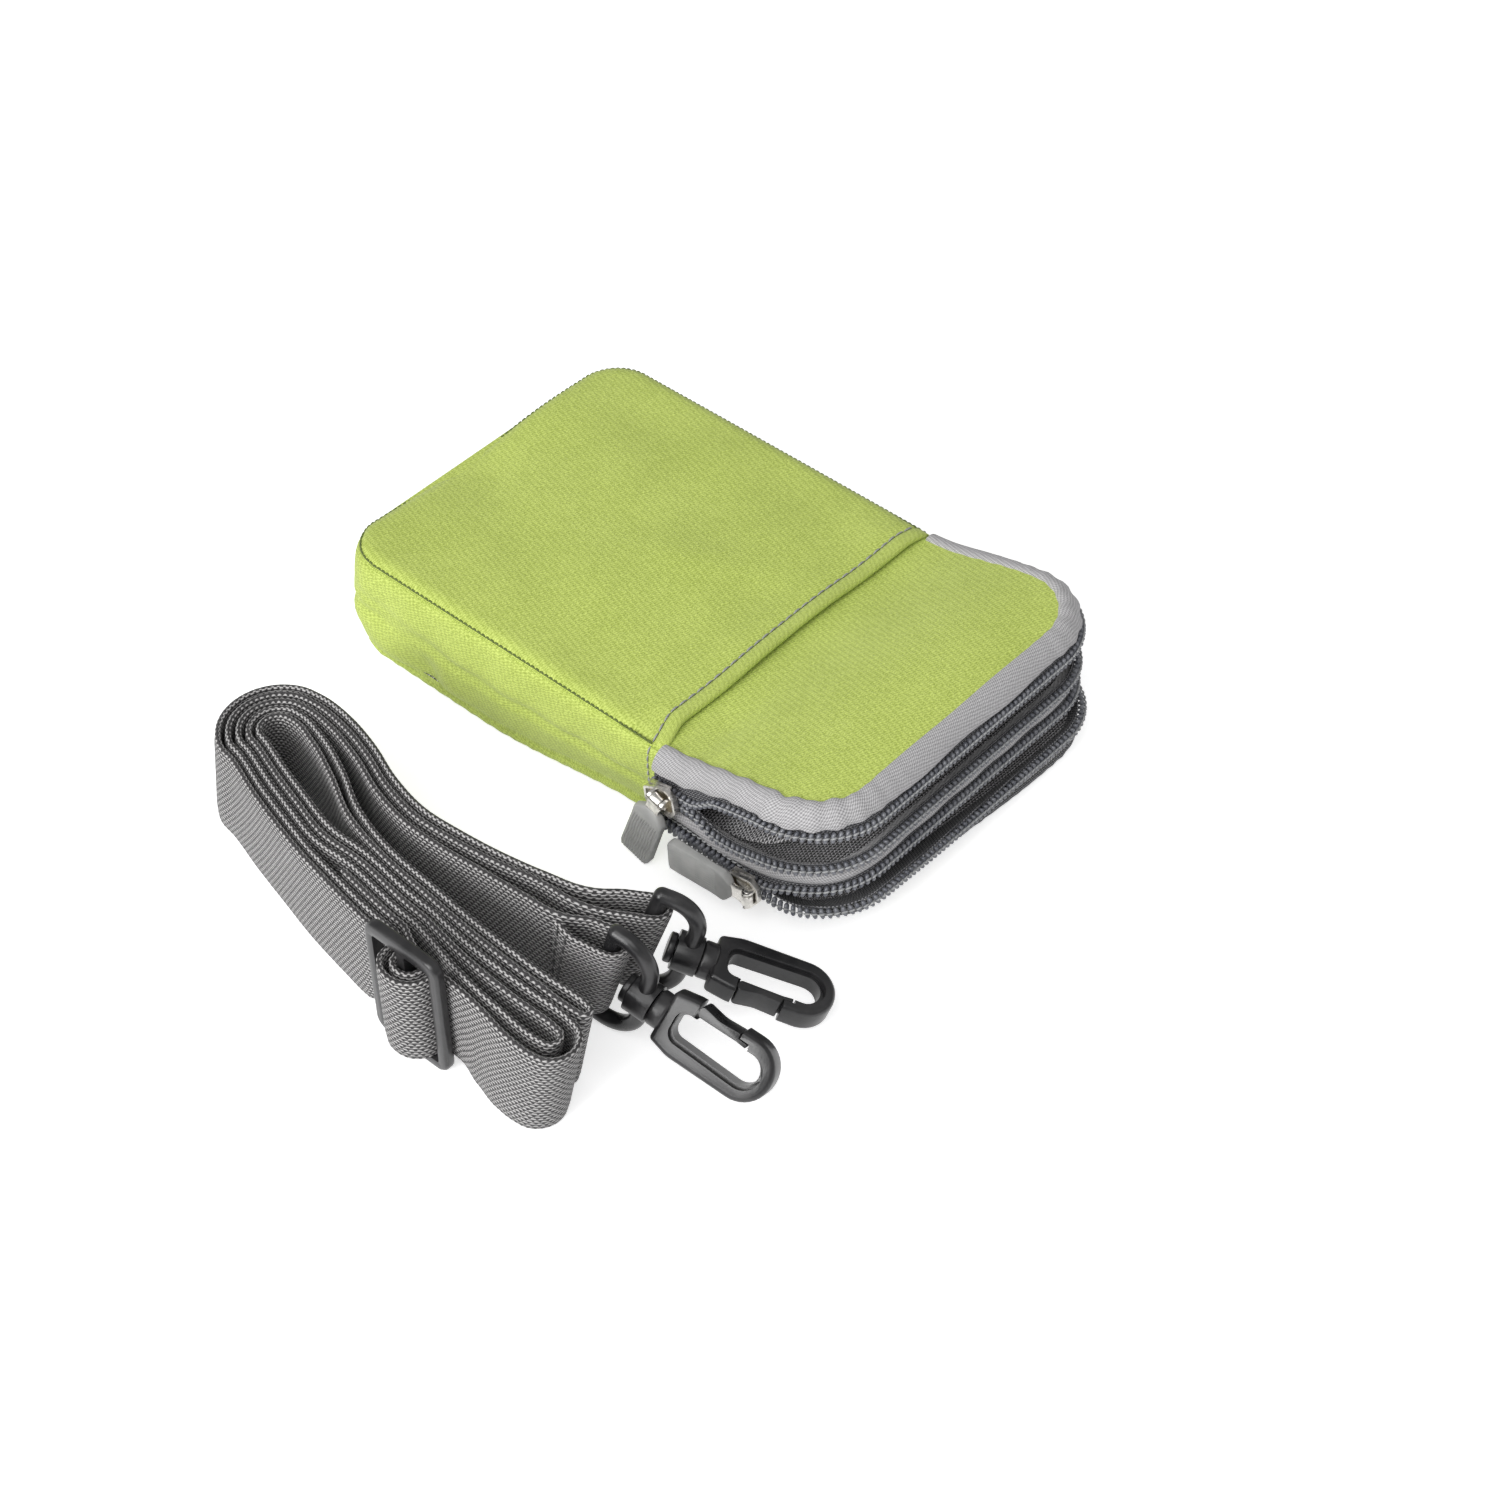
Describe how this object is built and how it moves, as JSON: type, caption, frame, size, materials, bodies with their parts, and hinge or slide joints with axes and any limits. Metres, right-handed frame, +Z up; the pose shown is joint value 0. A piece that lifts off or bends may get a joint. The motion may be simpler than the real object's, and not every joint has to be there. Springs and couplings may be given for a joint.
{
  "type": "phone pouch",
  "caption": "Flat zipped pouch for phones with a slip pocket, its zips open at the mouth, and a folded webbing shoulder strap with an adjuster and swivel snap hooks beside it.",
  "frame": {"origin": "centre of the pouch's resting face, on the belt loop", "axes": "+Z up out of the pouch's front panel, -Y out of its mouth, -X towards the side where the strap lies"},
  "size_m": [0.1648, 0.1558, 0.0334],
  "materials": {
    "green_fabric": "woven, matte",
    "grey_binding": "ribbed, matte",
    "zip_grey": "nylon coil, satin",
    "lining": "thin lining cloth",
    "webbing": "woven webbing",
    "black_plastic": "satin moulded plastic",
    "nickel": "plated metal",
    "grip_rubber": "matte"
  },
  "bodies": {
    "pouch": {"back_panel": "green_fabric", "back_seam": "green_fabric", "belt_loop": "green_fabric", "rear_gusset": "green_fabric", "divider": "lining", "front_gusset": "green_fabric", "front_panel": "green_fabric", "slip_pocket": "green_fabric", "pocket_hem": "green_fabric", "hem_stitching": "grey_binding", "rear_lining": "lining", "front_lining": "lining", "front_binding": "grey_binding", "middle_band": "grey_binding", "front_zip_upper": "zip_grey", "front_zip_lower": "zip_grey", "rear_zip_upper": "zip_grey", "rear_zip_lower": "zip_grey", "rear_zip_closed": "zip_grey", "zip_end_stops": "nickel", "tab_near": "webbing", "tab_far": "webbing"},
    "front_slider": {"front_slider": "nickel"},
    "front_puller": {"front_puller_link": "nickel", "front_puller_grip": "grip_rubber"},
    "rear_slider": {"rear_slider": "nickel"},
    "rear_puller": {"rear_puller_link": "nickel", "rear_puller_grip": "grip_rubber"},
    "near_d_ring": {"d_ring_near": "black_plastic"},
    "far_d_ring": {"d_ring_far": "black_plastic"},
    "strap": {"strap_webbing": "webbing", "strap_stitching": "webbing", "strap_adjuster": "black_plastic"},
    "hook_1_ring": {"hook_1_ring": "black_plastic"},
    "hook_1": {"hook_1_body": "black_plastic"},
    "hook_1_gate": {"hook_1_gate": "black_plastic"},
    "hook_2_ring": {"hook_2_ring": "black_plastic"},
    "hook_2": {"hook_2_body": "black_plastic"},
    "hook_2_gate": {"hook_2_gate": "black_plastic"}
  },
  "joints": [
    {"name": "front_slider_slide", "type": "slide", "parent": "pouch", "child": "front_slider", "axis": [0, -0.992, 0.1262], "range_m": [0, 0.0025]},
    {"name": "front_puller_swing", "type": "hinge", "parent": "front_slider", "child": "front_puller", "pos_m": [-0.04888, -0.02981, 0.02047], "axis": [0, 0.9511, 0.309], "range_deg": [0, 80]},
    {"name": "rear_slider_slide", "type": "slide", "parent": "pouch", "child": "rear_slider", "axis": [0, -0.9992, 0.0393], "range_m": [0, 0.004]},
    {"name": "rear_puller_swing", "type": "hinge", "parent": "rear_slider", "child": "rear_puller", "pos_m": [-0.04888, -0.0536, 0.00887], "axis": [0, 0.0393, 0.9992], "range_deg": [0, 75]},
    {"name": "near_d_ring_swing", "type": "hinge", "parent": "pouch", "child": "near_d_ring", "pos_m": [-0.029, -0.051, 0.0015], "axis": [1, 0, 0], "range_deg": [0, 100]},
    {"name": "far_d_ring_swing", "type": "hinge", "parent": "pouch", "child": "far_d_ring", "pos_m": [0.029, -0.051, 0.0015], "axis": [1, 0, 0], "range_deg": [0, 100]},
    {"name": "strap_lift", "type": "slide", "parent": "pouch", "child": "strap", "axis": [0, 0, 1], "range_m": [0, 0.1]},
    {"name": "hook_1_ring_turn", "type": "hinge", "parent": "strap", "child": "hook_1_ring", "pos_m": [-0.0846, -0.0495, 0.0154], "axis": [0.0387, -0.2388, 0.9703], "range_deg": [-10, 10]},
    {"name": "hook_1_swivel", "type": "hinge", "parent": "hook_1_ring", "child": "hook_1", "pos_m": [-0.0846, -0.0495, 0.0154], "axis": [0.1551, -0.9578, -0.2419], "continuous": true},
    {"name": "hook_1_gate_press", "type": "hinge", "parent": "hook_1", "child": "hook_1_gate", "pos_m": [-0.07826, -0.06855, 0.01441], "axis": [0.7313, 0.276, -0.6237], "range_deg": [0, 20], "stiffness_Nm_per_rad": 0.02, "springref_deg": -11.46},
    {"name": "hook_2_ring_turn", "type": "hinge", "parent": "strap", "child": "hook_2_ring", "pos_m": [-0.0736, -0.049, 0.0154], "axis": [0.1545, -0.2676, 0.9511], "range_deg": [-10, 10]},
    {"name": "hook_2_swivel", "type": "hinge", "parent": "hook_2_ring", "child": "hook_2", "pos_m": [-0.0736, -0.049, 0.0154], "axis": [0.4755, -0.8236, -0.309], "continuous": true},
    {"name": "hook_2_gate_press", "type": "hinge", "parent": "hook_2", "child": "hook_2_gate", "pos_m": [-0.06867, -0.06754, 0.00938], "axis": [0.1545, -0.2676, 0.9511], "range_deg": [0, 20], "stiffness_Nm_per_rad": 0.02, "springref_deg": -11.46}
  ]
}
